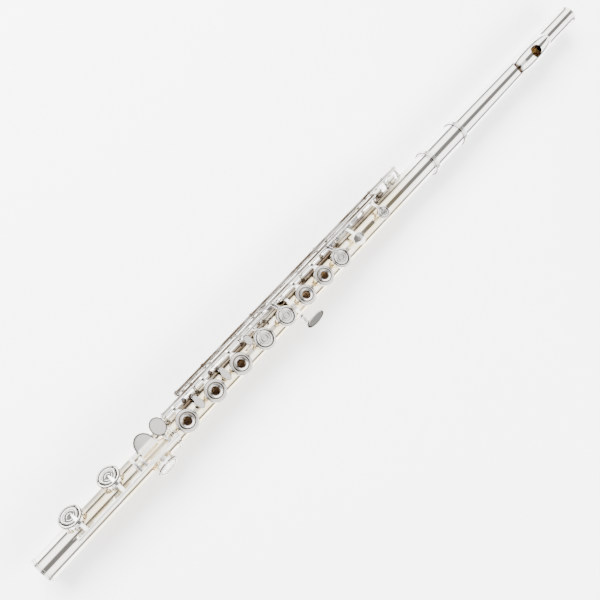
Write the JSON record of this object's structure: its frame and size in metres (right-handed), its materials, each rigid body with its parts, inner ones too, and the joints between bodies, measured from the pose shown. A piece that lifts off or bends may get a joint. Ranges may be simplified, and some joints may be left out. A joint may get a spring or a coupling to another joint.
{
  "type": "concert flute",
  "caption": "Transverse concert flute with open-hole keys, a foot joint, a body joint and a head joint with a raised lip plate.",
  "frame": {"origin": "centre of the foot joint's open bore end", "axes": "+X along the bore to the crown, +Z towards the main keys, +Y towards the rods and the player"},
  "size_m": [0.666, 0.0427, 0.0391],
  "materials": {
    "silver_plate": "mirror-polished silver plate over nickel silver",
    "steel": "ground steel",
    "brass": "turned brass",
    "pad": "felt under a thin pale skin",
    "cork": "natural cork"
  },
  "bodies": {
    "body": {"body_tube": "silver_plate", "barrel": "silver_plate", "barrel_rings": "silver_plate", "body_rib": "silver_plate", "body_posts": "silver_plate", "body_springs": "steel", "main_rod": "steel", "thumb_rod": "steel", "trill_pivot_screws": "steel"},
    "head": {"head_tube": "silver_plate", "lip_plate": "silver_plate", "riser": "silver_plate"},
    "crown": {"crown": "silver_plate"},
    "stopper": {"stopper_cork": "cork", "stopper_plates": "brass", "stopper_rod": "brass"},
    "foot": {"foot_tube": "silver_plate", "foot_rings": "silver_plate", "foot_rib": "silver_plate", "foot_posts": "silver_plate", "foot_springs": "steel", "foot_rod": "steel", "foot_pivot_screw": "steel"},
    "low_c": {"low_c_key": "silver_plate", "low_c_pad": "pad"},
    "low_c_roller": {"low_c_roller": "silver_plate"},
    "low_c_sharp": {"low_c_sharp_key": "silver_plate", "low_c_sharp_pad": "pad"},
    "d_sharp": {"d_sharp_key": "silver_plate", "d_sharp_pad": "pad"},
    "g_sharp": {"g_sharp_key": "silver_plate", "g_sharp_pad": "pad"},
    "b_flat_shake": {"b_flat_shake_key": "silver_plate"},
    "d_trill": {"d_trill_key": "silver_plate", "d_trill_pad": "pad"},
    "d_sharp_trill": {"d_sharp_trill_key": "silver_plate", "d_sharp_trill_pad": "pad"},
    "thumb_b": {"thumb_b_key": "silver_plate", "thumb_b_pad": "pad"},
    "thumb_b_flat": {"thumb_b_flat_lever": "silver_plate"},
    "d": {"d_key": "silver_plate", "d_pad": "pad"},
    "e": {"e_key": "silver_plate", "e_pad": "pad"},
    "f": {"f_key": "silver_plate", "f_pad": "pad"},
    "f_sharp": {"f_sharp_key": "silver_plate", "f_sharp_pad": "pad"},
    "lower_g": {"lower_g_key": "silver_plate", "lower_g_pad": "pad"},
    "upper_g": {"upper_g_key": "silver_plate", "upper_g_pad": "pad"},
    "a": {"a_key": "silver_plate", "a_pad": "pad"},
    "b_flat": {"b_flat_key": "silver_plate", "b_flat_pad": "pad"},
    "c": {"c_key": "silver_plate", "c_pad": "pad"}
  },
  "joints": [
    {"name": "head_slide", "type": "slide", "parent": "body", "child": "head", "axis": [1, 0, 0], "range_m": [0, 0.012]},
    {"name": "foot_turn", "type": "hinge", "parent": "body", "child": "foot", "pos_m": [0.119, 0, 0], "axis": [1, 0, 0], "range_deg": [-30, 30]},
    {"name": "crown_turn", "type": "hinge", "parent": "head", "child": "crown", "pos_m": [0.66, 0, 0], "axis": [1, 0, 0], "range_deg": [-180, 180]},
    {"name": "stopper_slide", "type": "slide", "parent": "head", "child": "stopper", "axis": [1, 0, 0], "range_m": [-0.0005, 0.0005]},
    {"name": "d_hinge", "type": "hinge", "parent": "body", "child": "d", "pos_m": [0.142, 0.015, 0.009], "axis": [1, 0, 0], "range_deg": [0, 9], "stiffness_Nm_per_rad": 0.012, "springref_deg": -28.65},
    {"name": "e_hinge", "type": "hinge", "parent": "body", "child": "e", "pos_m": [0.168, 0.015, 0.009], "axis": [1, 0, 0], "range_deg": [0, 9], "stiffness_Nm_per_rad": 0.012, "springref_deg": -28.65},
    {"name": "f_hinge", "type": "hinge", "parent": "body", "child": "f", "pos_m": [0.191, 0.015, 0.009], "axis": [1, 0, 0], "range_deg": [0, 9], "stiffness_Nm_per_rad": 0.012, "springref_deg": -28.65},
    {"name": "f_sharp_hinge", "type": "hinge", "parent": "body", "child": "f_sharp", "pos_m": [0.218, 0.015, 0.009], "axis": [1, 0, 0], "range_deg": [0, 9], "stiffness_Nm_per_rad": 0.012, "springref_deg": -28.65},
    {"name": "lower_g_hinge", "type": "hinge", "parent": "body", "child": "lower_g", "pos_m": [0.244, 0.015, 0.009], "axis": [1, 0, 0], "range_deg": [0, 9], "stiffness_Nm_per_rad": 0.012, "springref_deg": -28.65},
    {"name": "upper_g_hinge", "type": "hinge", "parent": "body", "child": "upper_g", "pos_m": [0.266, 0.015, 0.009], "axis": [1, 0, 0], "range_deg": [0, 9], "stiffness_Nm_per_rad": 0.012, "springref_deg": -28.65},
    {"name": "a_hinge", "type": "hinge", "parent": "body", "child": "a", "pos_m": [0.288, 0.015, 0.009], "axis": [1, 0, 0], "range_deg": [0, 9], "stiffness_Nm_per_rad": 0.012, "springref_deg": -28.65},
    {"name": "b_flat_hinge", "type": "hinge", "parent": "body", "child": "b_flat", "pos_m": [0.307, 0.015, 0.009], "axis": [1, 0, 0], "range_deg": [0, 9], "stiffness_Nm_per_rad": 0.012, "springref_deg": -28.65},
    {"name": "c_hinge", "type": "hinge", "parent": "body", "child": "c", "pos_m": [0.345, 0.015, 0.009], "axis": [1, 0, 0], "range_deg": [0, 9], "stiffness_Nm_per_rad": 0.012, "springref_deg": -28.65},
    {"name": "g_sharp_hinge", "type": "hinge", "parent": "body", "child": "g_sharp", "pos_m": [0.254, 0.015, 0.009], "axis": [1, 0, 0], "range_deg": [0, 7], "stiffness_Nm_per_rad": 0.012, "springref_deg": -28.65},
    {"name": "b_flat_shake_hinge", "type": "hinge", "parent": "body", "child": "b_flat_shake", "pos_m": [0.234, 0.015, 0.009], "axis": [1, 0, 0], "range_deg": [0, 9], "stiffness_Nm_per_rad": 0.012, "springref_deg": -28.65},
    {"name": "d_trill_hinge", "type": "hinge", "parent": "body", "child": "d_trill", "pos_m": [0.283, 0.018, 0.0015], "axis": [1, 0, 0], "range_deg": [0, 10], "stiffness_Nm_per_rad": 0.012, "springref_deg": -28.65},
    {"name": "d_sharp_trill_hinge", "type": "hinge", "parent": "body", "child": "d_sharp_trill", "pos_m": [0.276, 0.018, 0.0015], "axis": [1, 0, 0], "range_deg": [0, 10], "stiffness_Nm_per_rad": 0.012, "springref_deg": -28.65},
    {"name": "thumb_b_hinge", "type": "hinge", "parent": "body", "child": "thumb_b", "pos_m": [0.332, 0.01664, -0.0054], "axis": [1, 0, 0], "range_deg": [-10.8, 0], "stiffness_Nm_per_rad": 0.02, "springref_deg": 28.65},
    {"name": "thumb_b_flat_hinge", "type": "hinge", "parent": "body", "child": "thumb_b_flat", "pos_m": [0.352, 0.01664, -0.0054], "axis": [1, 0, 0], "range_deg": [-9, 0], "stiffness_Nm_per_rad": 0.02, "springref_deg": 28.65},
    {"name": "low_c_hinge", "type": "hinge", "parent": "foot", "child": "low_c", "pos_m": [0.05, -0.0015, 0.015], "axis": [1, 0, 0], "range_deg": [-9.8, 0], "stiffness_Nm_per_rad": 0.012, "springref_deg": 28.65},
    {"name": "low_c_sharp_hinge", "type": "hinge", "parent": "foot", "child": "low_c_sharp", "pos_m": [0.08, -0.0015, 0.015], "axis": [1, 0, 0], "range_deg": [-9.8, 0], "stiffness_Nm_per_rad": 0.012, "springref_deg": 28.65},
    {"name": "d_sharp_hinge", "type": "hinge", "parent": "foot", "child": "d_sharp", "pos_m": [0.11, -0.0015, 0.015], "axis": [1, 0, 0], "range_deg": [-8, 0], "stiffness_Nm_per_rad": 0.012, "springref_deg": 28.65},
    {"name": "low_c_roller_spin", "type": "hinge", "parent": "low_c", "child": "low_c_roller", "pos_m": [0.1045, 0.0072, 0.013], "axis": [1, 0, 0], "continuous": true}
  ],
  "couplings": [
    {"joint": "f_sharp_hinge", "follows": "f_hinge", "ratio": 1},
    {"joint": "b_flat_hinge", "follows": "f_hinge", "ratio": 1},
    {"joint": "lower_g_hinge", "follows": "upper_g_hinge", "ratio": 1},
    {"joint": "stopper_slide", "follows": "crown_turn", "m_per_rad": 0.0001273}
  ]
}
